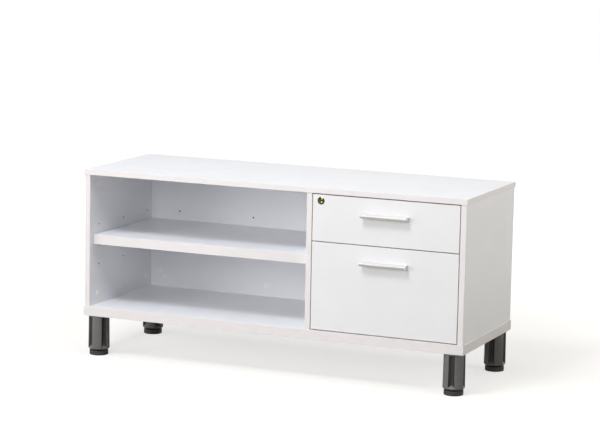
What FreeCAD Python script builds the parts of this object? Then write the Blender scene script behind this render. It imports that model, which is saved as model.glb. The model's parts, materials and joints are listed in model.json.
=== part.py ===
# Office credenza: an open shelf bay on the left, two drawers on the right, four round legs.
# Millimetres. X runs to the right, Y to the back and Z up; the front looks along -Y.
# The origin is on the floor, under the middle of the whole piece.
import FreeCAD, Part
import os
import re
import Sketcher

os.makedirs("parts", exist_ok=True)
doc = FreeCAD.newDocument("Credenza")

# ---------------------------------------------------------------- driving sizes
sizes = {
    # carcass boards
    "topWidth": 1200,
    "panelDepth": 418,
    "frontReveal": 2,
    "sideInset": 3,
    "boardThin": 16,
    "boardThick": 28,
    "bayHeight": 396,
    "openBayWidth": 698,
    # adjustable shelf and its rows of pin holes
    "shelfHeight": 186,
    "shelfSetback": 20,
    "shelfSideGap": 1.5,
    "shelfBackGap": 2,
    "pinColumnFront": 57,
    "pinColumnRear": 31,
    "pinRowPitch": 60,
    "pinBackInset": 98,
    "pinRadius": 2.5,
    "pinDepth": 10,
    "pinHeadRadius": 4.5,
    "pinHeadLength": 8,
    "pinGap": 0.05,
    # cam connectors, their bolts, caps and dowels
    "camFromEnd": 34,
    "camFront": 50,
    "camMiddle": 200,
    "camBackInner": 396,
    "camBackStep": 15,
    "camBackRise": 16,
    "camRadius": 7.5,
    "camDepth": 12.5,
    "capRadius": 8.5,
    "capThickness": 1,
    "boltRadius": 3.5,
    "boltThread": 11,
    "boltGap": 0.4,
    "dowelInset": 82,
    "dowelRadius": 4,
    "dowelDeep": 20,
    "dowelShallow": 11,
    "fitGap": 0.05,
    # legs
    "legHeight": 120,
    "legInsetX": 36,
    "legInsetY": 32,
    "collarFlange": 4,
    "collarHub": 18,
    "collarHubBore": 18.5,
    "legScrewSpread": 10,
    "legScrewRadius": 2,
    "legScrewHead": 3.8,
    "legScrewHeadHeight": 2,
    "legScrewLength": 20,
    "columnTopRadius": 30.8,
    "columnBottomRadius": 31.8,
    "columnBore": 21,
    "columnFloor": 16,
    "hubGap": 0.1,
    "fluteRadius": 10.7,
    "fluteCentre": 35,
    "fluteCount": 4,
    "rimHeight": 3.8,
    "rimChamfer": 3,
    "ledgeRise": 7,
    "ledgeBite": 0.3,
    "footGap": 4.2,
    "footRadius": 28.1,
    "footHeight": 13.5,
    "footRound": 3,
    "spindleRadius": 8,
    "spindleLength": 26,
    "spindleGap": 0.08,
    # drawer fronts
    "gapSide": 2.5,
    "gapTop": 3,
    "gapMiddle": 2.5,
    "gapBottom": 3,
    "upperFrontHeight": 134,
    # drawer boxes
    "boxRearGap": 16,
    "boxSide": 12,
    "boxBack": 12,
    "boxFloor": 8,
    "boxGroove": 6,
    "boxGrooveRise": 10,
    "upperBoxRise": 13,
    "boxLockGap": 5.4,
    "lowerBoxRise": 14,
    "lowerBoxHeight": 190,
    # telescopic runners
    "runnerSpace": 12.7,
    "runnerHeight": 45,
    "runnerSetback": 28,
    "runnerRearGap": 8,
    "upperRunnerRise": 10,
    "lowerRunnerRise": 33,
    "sheetSteel": 1.2,
    "memberGap": 0.3,
    "middleMemberWall": 2.4,
    "cabinetMemberReach": 9.5,
    "middleMemberReach": 10.9,
    "drawerMemberReach": 4.6,
    "runnerScrewInset": 40,
    "runnerScrewRadius": 1.8,
    "runnerScrewHead": 3.4,
    "runnerScrewHeadHeight": 0.6,
    "runnerScrewLength": 11,
    # handles
    "handleLength": 140,
    "handleDepth": 22,
    "handleHeight": 12,
    "handleDrop": 44,
    "handleRoof": 3,
    "handleLip": 4,
    "handleEnd": 11,
    "handleRound": 7,
    "handleScrewInset": 6,
    "handleScrewRadius": 2,
    "handleScrewHead": 4,
    "handleScrewHeadHeight": 2,
    "handleScrewBite": 12,
    # lock in the upper drawer, and the bar that it lifts
    "lockFromSide": 25,
    "lockFromTop": 17.5,
    "lockFaceRadius": 11,
    "lockFaceThickness": 2,
    "lockBodyRadius": 9,
    "lockBodyStandout": 4,
    "lockPlugRadius": 6,
    "lockPlugGap": 0.08,
    "keyWidth": 1.6,
    "keyHeight": 7,
    "keyDepth": 5,
    "crankRim": 0.5,
    "crankThickness": 3,
    "crankThrow": 6,
    "crankPinRadius": 2,
    "crankPinLength": 13,
    "barWidth": 14,
    "barThickness": 5,
    "barSetback": 21,
    "barGap": 0.3,
    "barFloorGap": 20,
    "barHeadThickness": 3,
    "barHeadEdge": 3.5,
    "barHeadEnd": 10.9,
    "crankPinSlack": 1.6,
    "pegRadius": 2.5,
    "pegReach": 8,
    "catchPlay": 0.5,
    "catchDepth": 14,
    "catchReach": 10,
    "catchHeight": 10,
    "catchSheet": 3,
    "lowerCatchDrop": 30,
    "guideSheet": 1.2,
    "guideHeight": 12,
    "guideWing": 9,
    "guideSpread": 50,
}

sheet = doc.addObject("Spreadsheet::Sheet", "Sizes")
for row, (name, value) in enumerate(sizes.items(), start=1):
    sheet.set("A%d" % row, name)
    sheet.set("B%d" % row, str(value))
    sheet.setAlias("B%d" % row, name)
doc.recompute()

# ---------------------------------------------------------------- places worked out from the sizes
places = {
    "leftEnd": "-topWidth / 2",
    "rightEnd": "topWidth / 2",
    "frontY": "(handleDepth - panelDepth) / 2",
    "backY": "frontY + panelDepth",
    "boardFrontY": "frontY - frontReveal",
    "bayFloor": "legHeight + boardThick",
    "bayRoof": "bayFloor + bayHeight",
    "leftInner": "leftEnd + sideInset + boardThin",
    "rightInner": "rightEnd - sideInset - boardThin",
    "dividerLeft": "leftInner + openBayWidth",
    "dividerRight": "dividerLeft + boardThin",
    "backInner": "backY - boardThin",
    "shelfUnder": "bayFloor + shelfHeight",
    "pinRow": "shelfUnder - pinHeadRadius",
    "frontLeft": "dividerRight + gapSide",
    "frontRight": "rightInner - gapSide",
    "upperFrontTop": "bayRoof - gapTop",
    "upperFrontBottom": "upperFrontTop - upperFrontHeight",
    "lowerFrontTop": "upperFrontBottom - gapMiddle",
    "lowerFrontBottom": "bayFloor + gapBottom",
    "boxLeft": "dividerRight + runnerSpace",
    "boxRight": "rightInner - runnerSpace",
    "boxFrontY": "frontY + boardThin",
    "boxBackY": "backInner - boxRearGap",
    "boxDepth": "boxBackY - boxFrontY",
    "upperBoxBottom": "upperFrontBottom + upperBoxRise",
    "lowerBoxBottom": "lowerFrontBottom + lowerBoxRise",
    "upperRunnerBottom": "upperBoxBottom + upperRunnerRise",
    "lowerRunnerBottom": "lowerBoxBottom + lowerRunnerRise",
    "runnerFrontY": "boxFrontY + runnerSetback",
    "runnerBackY": "backInner - runnerRearGap",
    "runnerLength": "runnerBackY - runnerFrontY",
    "lockX": "frontLeft + lockFromSide",
    "lockZ": "upperFrontTop - lockFromTop",
    "barFrontY": "frontY + barSetback",
    "barBottom": "bayFloor + barFloorGap",
    "barHeadTop": "lockZ - crankThrow + crankPinRadius + crankPinSlack + barHeadEdge",
    "barHeadBottom": "lockZ - crankThrow - crankPinRadius - crankPinSlack - barHeadEdge",
    "barLift": "2 * crankThrow",
    "upperBoxTop": "barHeadBottom - boxLockGap",
    "lowerBoxTop": "lowerBoxBottom + lowerBoxHeight",
    "upperCatchBottom": "upperBoxTop - catchHeight",
    "lowerCatchBottom": "lowerBoxTop - lowerCatchDrop - catchHeight",
    "pegBelowCatch": "barLift + catchPlay + pegRadius",
}


def expand(text):
    """Turn a formula in plain names into one that the document's expression engine reads."""
    def swap(match):
        word = match.group()
        if word in places:
            return "(" + expand(places[word]) + ")"
        if word in sizes:
            return "Sizes." + word
        return word
    return re.sub(r"[A-Za-z_]\w*", swap, text)


def bind(thing, path, text):
    thing.setExpression(path, expand(text))


def put(thing, place):
    """Bind an object's position to three formulas."""
    for axis, text in zip("xyz", place):
        bind(thing, "Placement.Base." + axis, text)


nodes = []


def keep(thing, name):
    """Mark a finished object as one sub-part of the assembly."""
    thing.Label = name
    nodes.append(thing)
    return thing


# ---------------------------------------------------------------- building blocks
edgeTolerance = 0.01
turns = {
    "x": FreeCAD.Rotation(FreeCAD.Vector(0, 1, 0), 90),
    "y": FreeCAD.Rotation(FreeCAD.Vector(1, 0, 0), -90),
    "z": FreeCAD.Rotation(),
}


def make_box(name, corner, span):
    """A box from its lowest corner and its length along X, Y and Z."""
    box = doc.addObject("Part::Box", name)
    for side, text in zip(("Length", "Width", "Height"), span):
        bind(box, side, text)
    put(box, corner)
    return box


def make_rod(name, axis, start, radius, length):
    """A cylinder that starts at a point and runs along +axis."""
    rod = doc.addObject("Part::Cylinder", name)
    rod.Placement = FreeCAD.Placement(FreeCAD.Vector(), turns[axis])
    bind(rod, "Radius", radius)
    bind(rod, "Height", length)
    put(rod, start)
    return rod


def make_group(name, members):
    group = doc.addObject("Part::Compound", name)
    group.Links = members
    return group


def make_union(name, members):
    union = doc.addObject("Part::MultiFuse", name)
    union.Shapes = members
    return union


def make_cut(name, base, tools):
    cut = doc.addObject("Part::Cut", name)
    cut.Base = base
    cut.Tool = make_group(name + "_tools", tools)
    return cut


def new_body(name):
    return keep(doc.addObject("PartDesign::Body", name), name)


def origin_feature(body, role):
    return next(item for item in body.Origin.OriginFeatures if item.Role == role)


def new_sketch(body, name, plane, height):
    """An empty sketch parallel to one of the body's own planes, at a height along its normal."""
    sketch = body.newObject("Sketcher::SketchObject", name)
    sketch.AttachmentSupport = [(origin_feature(body, plane), "")]
    sketch.MapMode = "FlatFace"
    bind(sketch, "AttachmentOffset.Base.z", height)
    return sketch


def drive(sketch, kind, *items):
    """Add one dimension to a sketch; the last item is its formula."""
    index = sketch.addConstraint(Sketcher.Constraint(kind, *items[:-1], 1.0))
    bind(sketch, "Constraints[%d]" % index, items[-1])


def drive_point(sketch, edge, end, corner):
    drive(sketch, "DistanceX", -1, 1, edge, end, corner[0])
    drive(sketch, "DistanceY", -1, 1, edge, end, corner[1])


def add_outline(sketch, corners):
    """A closed outline of straight lines, each corner dimensioned from the sketch's origin."""
    first = sketch.GeometryCount
    count = len(corners)
    for step in range(count):
        start = FreeCAD.Vector(step, step * step, 0)
        end = FreeCAD.Vector(step + 1, (step + 1) ** 2, 0)
        sketch.addGeometry(Part.LineSegment(start, end), False)
    for step in range(count):
        following = first + (step + 1) % count
        sketch.addConstraint(Sketcher.Constraint("Coincident", first + step, 2, following, 1))
    for step, corner in enumerate(corners):
        drive_point(sketch, first + step, 1, corner)


def add_circles(sketch, centres, radius):
    for centre in centres:
        circle = Part.Circle(FreeCAD.Vector(sketch.GeometryCount, 1, 0), FreeCAD.Vector(0, 0, 1), 1)
        edge = sketch.addGeometry(circle, False)
        drive_point(sketch, edge, 3, centre)
        drive(sketch, "Radius", edge, radius)


def rectangle(low, high):
    return [(low[0], low[1]), (high[0], low[1]), (high[0], high[1]), (low[0], high[1])]


def add_pad(body, name, sketch, length):
    pad = body.newObject("PartDesign::Pad", name)
    pad.Profile = sketch
    bind(pad, "Length", length)
    return pad


def add_pocket(body, name, sketch, length, backwards=False):
    pocket = body.newObject("PartDesign::Pocket", name)
    pocket.Profile = sketch
    pocket.Type = "Length"
    bind(pocket, "Length", length)
    pocket.Reversed = backwards
    return pocket


def drill(body, name, plane, height, centres, radius, depth, backwards=False):
    """Round holes of one depth. They run against the plane's normal, or along it when backwards."""
    sketch = new_sketch(body, name + "_places", plane, height)
    add_circles(sketch, centres, radius)
    return add_pocket(body, name, sketch, depth, backwards)


def board(name, plane, height, low, high, thickness):
    """A rectangular board, padded along its plane's normal."""
    body = new_body(name)
    sketch = new_sketch(body, name + "_outline", plane, height)
    add_outline(sketch, rectangle(low, high))
    add_pad(body, name + "_board", sketch, thickness)
    return body


def turned(body, name, corners):
    """A solid of revolution about the body's own Z axis, from (radius, height) corners."""
    sketch = new_sketch(body, name + "_profile", "XZ_Plane", "0")
    add_outline(sketch, corners)
    revolution = body.newObject("PartDesign::Revolution", name)
    revolution.Profile = sketch
    revolution.ReferenceAxis = (sketch, ["V_Axis"])
    revolution.Angle = 360
    return revolution


def round_edges(body, name, radius, test):
    """Round the edges of the body so far that pass a test, which sees an edge's box and the body's."""
    doc.recompute()
    blank = body.Tip
    limits = blank.Shape.BoundBox
    chosen = ["Edge%d" % (number + 1) for number, edge in enumerate(blank.Shape.Edges)
              if test(edge.BoundBox, limits)]
    rounding = body.newObject("PartDesign::Fillet", name)
    rounding.Base = (blank, chosen)
    bind(rounding, "Radius", radius)
    return rounding


# ---------------------------------------------------------------- carcass joints
class Upright:
    """A side panel or the divider, with the face that its cams sink into."""
    def __init__(self, name, outer, face, sink, rear):
        self.name = name
        self.outer = outer
        self.face = face
        self.sink = sink
        self.middle = "%s + boardThin / 2" % outer
        self.rear = rear
        self.boltLine = "%s + %d * camDepth / 2" % (face, sink)
        self.camRows = ["frontY + camFront", "frontY + camMiddle", "%s - camFront" % rear]
        self.dowelRows = ["frontY + dowelInset", "%s - dowelInset" % rear]


uprights = [
    Upright("left_side_panel", "leftEnd + sideInset", "leftInner", -1, "backY"),
    Upright("divider_panel", "dividerLeft", "dividerLeft", 1, "backInner"),
    Upright("right_side_panel", "rightInner", "rightInner", 1, "backY"),
]
uprightBolts = [(post.boltLine, row) for post in uprights for row in post.camRows]
uprightDowels = [(post.middle, row) for post in uprights for row in post.dowelRows]

# the back panel's cams stand along its lower and upper edges, and two at each side edge
backBoltY = "backInner + camDepth / 2"
backCamColumns = ["leftInner + camFromEnd + camBackStep", "leftInner + camBackInner",
                  "dividerRight + camFromEnd + camBackStep", "rightInner - camFromEnd - camBackStep"]
camLevels = ["bayFloor + camFromEnd", "bayRoof - camFromEnd"]
backSideLevels = ["bayFloor + camFromEnd + camBackRise", "bayRoof - camFromEnd - camBackRise"]
backSideColumns = ["leftInner + camFromEnd", "rightInner - camFromEnd"]

# rows of shelf pin holes: three high, three deep on the uprights and three along the back
pinFront = "frontY + pinColumnFront"
pinRear = "backInner - pinColumnRear"
pinColumns = [pinFront, "(%s + %s) / 2" % (pinFront, pinRear), pinRear]
pinRows = ["pinRow + %d * pinRowPitch" % step for step in (-1, 0, 1)]
backPinColumns = ["leftInner + pinBackInset", "leftInner + openBayWidth / 2",
                  "dividerLeft - pinBackInset"]

# legs: the middle of each and the angle that its flutes are turned to
legs = {
    "front_left": ("leftEnd + legInsetX", "boardFrontY + legInsetY", -30),
    "front_right": ("rightEnd - legInsetX", "boardFrontY + legInsetY", 5),
    "rear_left": ("leftEnd + legInsetX", "backY - legInsetY", -34),
    "rear_right": ("rightEnd - legInsetX", "backY - legInsetY", -3),
}
legScrews = [(x + across, y + along)
             for x, y, turn in legs.values()
             for across in (" + legScrewSpread", " - legScrewSpread")
             for along in (" + legScrewSpread", " - legScrewSpread")]

# screws of the two pairs of runners, and the handles' screws
runnerLevels = ["upperRunnerBottom + runnerHeight / 2", "lowerRunnerBottom + runnerHeight / 2"]
runnerScrewRows = ["runnerFrontY + runnerScrewInset", "(runnerFrontY + runnerBackY) / 2",
                   "runnerBackY - runnerScrewInset"]
runnerScrews = [(row, level) for row in runnerScrewRows for level in runnerLevels]


# ---------------------------------------------------------------- boards
def build_top_and_base():
    """The top and the thick base take the bolts and dowels of all that stands between them."""
    bolts = uprightBolts + [(column, backBoltY) for column in backCamColumns]
    for name, bottom, thickness, face, upwards in (
            ("top_panel", "bayRoof", "boardThin", "bayRoof", True),
            ("base_panel", "legHeight", "boardThick", "bayFloor", False)):
        body = board(name, "XY_Plane", bottom, ("leftEnd", "boardFrontY"), ("rightEnd", "backY"), thickness)
        drill(body, name + "_bolt_holes", "XY_Plane", face, bolts,
              "boltRadius + fitGap", "boltThread + fitGap", upwards)
        drill(body, name + "_dowel_holes", "XY_Plane", face, uprightDowels,
              "dowelRadius + fitGap", "dowelShallow + fitGap", upwards)
        if name == "base_panel":
            drill(body, name + "_leg_holes", "XY_Plane", "legHeight", legScrews,
                  "legScrewRadius + fitGap", "legScrewLength - collarFlange + fitGap", True)


def build_uprights():
    """Side panels and divider: cams on one face, bolt and dowel bores in both ends."""
    for post in uprights:
        body = board(post.name, "YZ_Plane", post.outer, ("frontY", "bayFloor"), (post.rear, "bayRoof"),
                     "boardThin")
        sinksRight = post.sink > 0
        cams = [(row, level) for row in post.camRows for level in camLevels]
        drill(body, post.name + "_cams", "YZ_Plane", post.face, cams,
              "camRadius + fitGap", "camDepth", sinksRight)
        bolts = [(post.boltLine, row) for row in post.camRows]
        dowels = [(post.middle, row) for row in post.dowelRows]
        for end, level, upwards in (("bottom", "bayFloor", True), ("top", "bayRoof", False)):
            drill(body, post.name + "_bolts_" + end, "XY_Plane", level, bolts,
                  "boltRadius + boltGap", "camFromEnd", upwards)
            drill(body, post.name + "_dowels_" + end, "XY_Plane", level, dowels,
                  "dowelRadius + fitGap", "dowelDeep + fitGap", upwards)
        if post.rear == "backY":
            drill(body, post.name + "_back_bolts", "YZ_Plane", post.face,
                  [(backBoltY, level) for level in backSideLevels],
                  "boltRadius + fitGap", "boltThread + fitGap", sinksRight)
        if post.name != "right_side_panel":
            drill(body, post.name + "_pins", "YZ_Plane", post.face,
                  [(column, row) for column in pinColumns for row in pinRows],
                  "pinRadius", "pinDepth", sinksRight)
        if post.name != "left_side_panel":
            drawerFace = "rightInner" if post.name == "right_side_panel" else "dividerRight"
            drill(body, post.name + "_runner_screws", "YZ_Plane", drawerFace, runnerScrews,
                  "runnerScrewRadius + fitGap", "runnerScrewLength - sheetSteel + fitGap",
                  drawerFace == "rightInner")
        if post.name == "divider_panel":
            groove = new_sketch(body, "lock_bar_groove_outline", "YZ_Plane", "dividerRight")
            add_outline(groove, rectangle(
                ("barFrontY - barGap", "barBottom - barGap"),
                ("barFrontY + barWidth + barGap", "barHeadTop + barLift + barGap")))
            add_pocket(body, "lock_bar_groove", groove, "barThickness + 2 * barGap")


def build_back_panel():
    """The back closes both bays and stands between the side panels, flush with their rear edges."""
    body = board("back_panel", "XZ_Plane", "-backY", ("leftInner", "bayFloor"), ("rightInner", "bayRoof"),
                 "boardThin")
    cams = [(column, level) for column in backCamColumns for level in camLevels]
    cams += [(column, level) for column in backSideColumns for level in backSideLevels]
    drill(body, "back_cams", "XZ_Plane", "-backInner", cams, "camRadius + fitGap", "camDepth")
    for end, level, upwards in (("bottom", "bayFloor", True), ("top", "bayRoof", False)):
        drill(body, "back_bolts_" + end, "XY_Plane", level,
              [(column, backBoltY) for column in backCamColumns],
              "boltRadius + boltGap", "camFromEnd", upwards)
    for side, edge, rightwards in (("left", "leftInner", True), ("right", "rightInner", False)):
        drill(body, "back_bolts_" + side, "YZ_Plane", edge,
              [(backBoltY, level) for level in backSideLevels],
              "boltRadius + boltGap", "camFromEnd", rightwards)
    drill(body, "back_pins", "XZ_Plane", "-backInner",
          [(column, row) for column in backPinColumns for row in pinRows], "pinRadius", "pinDepth")


def build_shelf():
    """The shelf rests on the heads of its pins and can be set one row of holes higher or lower."""
    board("adjustable_shelf", "XY_Plane", "shelfUnder",
          ("leftInner + shelfSideGap", "frontY + shelfSetback"),
          ("dividerLeft - shelfSideGap", "backInner - shelfBackGap"), "boardThick")
    pins = []

    def add_pin(axis, face, into, across):
        """One pin: a peg in its hole and a head in front of the board's face."""
        mark = "shelf_pin_%d" % len(pins)
        peg = "pinRadius - pinGap"
        pegStart = "%s - pinDepth" % face if into < 0 else face
        headStart = face if into < 0 else "%s - pinHeadLength" % face
        if axis == "x":
            pegPlace, headPlace = (pegStart, across, "pinRow"), (headStart, across, "pinRow")
        else:
            pegPlace, headPlace = (across, pegStart, "pinRow"), (across, headStart, "pinRow")
        pins.append(make_union(mark, [
            make_rod(mark + "_peg", axis, pegPlace, peg, "pinDepth"),
            make_rod(mark + "_head", axis, headPlace, "pinHeadRadius", "pinHeadLength")]))

    for row in (pinColumns[0], pinColumns[2]):
        add_pin("x", "leftInner", -1, row)
        add_pin("x", "dividerLeft", 1, row)
    for column in backPinColumns:
        add_pin("y", "backInner", 1, column)
    keep(make_group("shelf_pins", pins), "shelf_pins")


def build_connectors():
    """Cams in the boards, their bolts, the caps that cover them, and the dowels."""
    cams = []
    bolts = []
    caps = []
    boltLength = "camFromEnd - camRadius - fitGap + boltThread"

    def add_cam(axis, face, sink, across, level):
        """A cam set flush in a face, with its cap lying on that face."""
        mark = "cam_%d" % len(cams)
        camStart = face if sink > 0 else "%s - camDepth" % face
        capStart = "%s - capThickness" % face if sink > 0 else face
        if axis == "x":
            camPlace, capPlace = (camStart, across, level), (capStart, across, level)
        else:
            camPlace, capPlace = (across, camStart, level), (across, capStart, level)
        cams.append(make_rod(mark, axis, camPlace, "camRadius", "camDepth"))
        caps.append(make_rod(mark + "_cap", axis, capPlace, "capRadius", "capThickness"))

    def add_bolt(axis, x, y, z):
        bolts.append(make_rod("bolt_%d" % len(bolts), axis, (x, y, z), "boltRadius", boltLength))

    for post in uprights:
        for row in post.camRows:
            for level in camLevels:
                add_cam("x", post.face, post.sink, row, level)
            add_bolt("z", post.boltLine, row, "bayFloor - boltThread")
            add_bolt("z", post.boltLine, row, "bayRoof - (%s) + boltThread" % boltLength)
    for column in backCamColumns:
        for level in camLevels:
            add_cam("y", "backInner", 1, column, level)
        add_bolt("z", column, backBoltY, "bayFloor - boltThread")
        add_bolt("z", column, backBoltY, "bayRoof - (%s) + boltThread" % boltLength)
    for level in backSideLevels:
        for column in backSideColumns:
            add_cam("y", "backInner", 1, column, level)
        add_bolt("x", "leftInner - boltThread", backBoltY, level)
        add_bolt("x", "rightInner - (%s) + boltThread" % boltLength, backBoltY, level)
    keep(make_group("cam_locks", cams), "cam_locks")
    keep(make_group("cam_bolts", bolts), "cam_bolts")
    keep(make_group("cam_caps", caps), "cam_caps")
    dowels = []
    for x, y in uprightDowels:
        for end, start in (("bottom", "bayFloor - dowelShallow"), ("top", "bayRoof - dowelDeep")):
            dowels.append(make_rod("dowel_%s_%d" % (end, len(dowels)), "z", (x, y, start),
                                   "dowelRadius", "dowelShallow + dowelDeep"))
    keep(make_group("dowels", dowels), "dowels")


# ---------------------------------------------------------------- legs
def build_legs():
    """Each leg: a collar screwed under the base, a fluted column and a foot that screws in and out."""
    shoulder = "legHeight - collarFlange"
    columnBottom = "footHeight + footGap"
    columnFloorTop = columnBottom + " + columnFloor"
    rimTop = columnBottom + " + rimHeight"
    ledgeTop = rimTop + " + ledgeRise"
    hubRadius = "columnBore - hubGap"
    hubBottom = shoulder + " - collarHub"
    spindleBore = "spindleRadius + spindleGap"
    screws = []
    for corner, (x, y, turn) in legs.items():
        collar = new_body("leg_collar_" + corner)
        turned(collar, "collar_" + corner, [
            ("0", "legHeight"), ("0", shoulder), ("collarHubBore", shoulder), ("collarHubBore", hubBottom),
            (hubRadius, hubBottom), (hubRadius, shoulder), ("columnTopRadius", shoulder),
            ("columnTopRadius", "legHeight")])
        drill(collar, "collar_holes_" + corner, "XY_Plane", "legHeight",
              [(across, along) for across in ("legScrewSpread", "-legScrewSpread")
               for along in ("legScrewSpread", "-legScrewSpread")],
              "legScrewRadius + fitGap", "collarFlange")
        put(collar, (x, y, "0"))

        column = new_body("leg_column_" + corner)
        turned(column, "column_" + corner, [
            (spindleBore, columnBottom), ("columnBottomRadius - rimChamfer", columnBottom),
            ("columnBottomRadius", columnBottom + " + rimChamfer"), ("columnBottomRadius", rimTop),
            ("columnTopRadius", shoulder), ("columnBore", shoulder), ("columnBore", columnFloorTop),
            (spindleBore, columnFloorTop)])
        outline = new_sketch(column, "flute_outline_" + corner, "XY_Plane", shoulder)
        add_circles(outline, [("0", "-fluteCentre")], "fluteRadius")
        flute = add_pocket(column, "flute_" + corner, outline, "%s - (%s)" % (shoulder, rimTop))
        flutes = column.newObject("PartDesign::PolarPattern", "flutes_" + corner)
        flutes.Originals = [flute]
        flutes.Axis = (outline, ["N_Axis"])
        flutes.Angle = 360
        bind(flutes, "Occurrences", "fluteCount")
        column.Tip = flutes
        # each flute ends below on a slope that rises inwards from the rim
        ledgeInner = "fluteCentre - fluteRadius - ledgeBite"
        turned(column, "ledge_" + corner, [
            (ledgeInner, rimTop), ("columnBottomRadius", rimTop), (ledgeInner, ledgeTop)])
        column.Placement = FreeCAD.Placement(FreeCAD.Vector(), FreeCAD.Rotation(turn, 0, 0))
        put(column, (x, y, "0"))

        foot = new_body("leg_foot_" + corner)
        turned(foot, "foot_profile_" + corner, [
            ("0", "0"), ("footRadius", "0"), ("footRadius", "footHeight"), ("spindleRadius", "footHeight"),
            ("spindleRadius", "footHeight + spindleLength"), ("0", "footHeight + spindleLength")])
        round_edges(foot, "foot_rounding_" + corner, "footRound",
                    lambda edge, limits: edge.ZMax - limits.ZMin < edgeTolerance)
        put(foot, (x, y, "0"))
    for number, (x, y) in enumerate(legScrews):
        head = "legHeight - collarFlange - legScrewHeadHeight"
        screws.append(make_union("leg_screw_%d" % number, [
            make_rod("leg_screw_head_%d" % number, "z", (x, y, head), "legScrewHead", "legScrewHeadHeight"),
            make_rod("leg_screw_shank_%d" % number, "z", (x, y, "legHeight - collarFlange"),
                     "legScrewRadius", "legScrewLength")]))
    keep(make_group("leg_screws", screws), "leg_screws")


# ---------------------------------------------------------------- runners
def channel(name, web, open_edge, low, high, drilled=None):
    """A steel channel along Y: its web stands at one X and its two flanges reach to another."""
    body = new_body(name)
    sketch = new_sketch(body, name + "_section", "XZ_Plane", "-runnerBackY")
    inner, step = web
    add_outline(sketch, [
        (inner, low), (open_edge, low), (open_edge, low + " + sheetSteel"),
        (inner + step, low + " + sheetSteel"), (inner + step, high + " - sheetSteel"),
        (open_edge, high + " - sheetSteel"), (open_edge, high), (inner, high)])
    add_pad(body, name + "_channel", sketch, "runnerLength")
    if drilled:
        face, rightwards, level = drilled
        drill(body, name + "_holes", "YZ_Plane", face, [(row, level) for row in runnerScrewRows],
              "runnerScrewRadius + fitGap", "sheetSteel", rightwards)
    return body


def build_runners():
    """Two runners to a drawer: a cabinet member, a middle member and a drawer member, nested."""
    screws = []
    for storey, bottom in (("upper", "upperRunnerBottom"), ("lower", "lowerRunnerBottom")):
        for hand, wall, sign in (("left", "dividerRight", "+"), ("right", "rightInner", "-")):
            level = bottom + " + runnerHeight / 2"
            inward = " %s sheetSteel" % sign
            outward = " %s sheetSteel" % ("-" if sign == "+" else "+")
            mark = "%s_runner_%s" % (storey, hand)
            channel(mark + "_cabinet_member", (wall, inward), "%s %s cabinetMemberReach" % (wall, sign),
                    bottom, bottom + " + runnerHeight", (wall, sign == "+", level))
            middleLow = bottom + " + sheetSteel + memberGap"
            middleHigh = bottom + " + runnerHeight - sheetSteel - memberGap"
            channel(mark + "_middle_member", ("%s %s middleMemberWall" % (wall, sign), inward),
                    "%s %s middleMemberReach" % (wall, sign), middleLow, middleHigh)
            channel(mark + "_drawer_member", ("%s %s runnerSpace" % (wall, sign), outward),
                    "%s %s drawerMemberReach" % (wall, sign),
                    middleLow + " + sheetSteel + memberGap", middleHigh + " - sheetSteel - memberGap")
            for row in runnerScrewRows:
                number = len(screws)
                if sign == "+":
                    head = "%s + sheetSteel" % wall
                    shank = "%s + sheetSteel - runnerScrewLength" % wall
                else:
                    head = "%s - sheetSteel - runnerScrewHeadHeight" % wall
                    shank = "%s - sheetSteel" % wall
                screws.append(make_union("runner_screw_%d" % number, [
                    make_rod("runner_screw_head_%d" % number, "x", (head, row, level),
                             "runnerScrewHead", "runnerScrewHeadHeight"),
                    make_rod("runner_screw_shank_%d" % number, "x", (shank, row, level),
                             "runnerScrewRadius", "runnerScrewLength")]))
    keep(make_group("runner_screws", screws), "runner_screws")


# ---------------------------------------------------------------- drawers
frontMiddle = "(frontLeft + frontRight) / 2"
handleLeft = "%s - handleLength / 2" % frontMiddle
handleRight = "%s + handleLength / 2" % frontMiddle
handleScrewColumns = [handleLeft + " + handleScrewInset", handleRight + " - handleScrewInset"]


def build_handle(storey, top):
    """A ledge handle: a rounded bar with a finger hollow below, screwed on through its two ends."""
    name = storey + "_drawer_handle"
    bottom = "%s - handleHeight" % top
    body = board(name, "XY_Plane", bottom, (handleLeft, "frontY - handleDepth"), (handleRight, "frontY"),
                 "handleHeight")
    round_edges(body, name + "_rounding", "handleRound",
                lambda edge, limits: edge.YMax - limits.YMin < edgeTolerance
                and limits.ZMax - edge.ZMin < edgeTolerance)
    hollow = new_sketch(body, name + "_hollow_outline", "XY_Plane", bottom)
    add_outline(hollow, rectangle((handleLeft + " + handleEnd", "frontY - handleDepth + handleLip"),
                                  (handleRight + " - handleEnd", "frontY")))
    add_pocket(body, name + "_hollow", hollow, "handleHeight - handleRoof", True)
    drill(body, name + "_screw_holes", "XZ_Plane", "-frontY",
          [(column, "%s - handleHeight / 2" % top) for column in handleScrewColumns],
          "handleScrewRadius + fitGap", "handleScrewBite + fitGap", True)
    screws = []
    for number, column in enumerate(handleScrewColumns):
        mark = "%s_%d" % (name, number)
        level = "%s - handleHeight / 2" % top
        screws.append(make_union(mark + "_screw", [
            make_rod(mark + "_screw_head", "y", (column, "boxFrontY", level),
                     "handleScrewHead", "handleScrewHeadHeight"),
            make_rod(mark + "_screw_shank", "y", (column, "frontY - handleScrewBite", level),
                     "handleScrewRadius", "handleScrewBite + boardThin")]))
    keep(make_group(storey + "_handle_screws", screws), storey + "_handle_screws")


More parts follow.
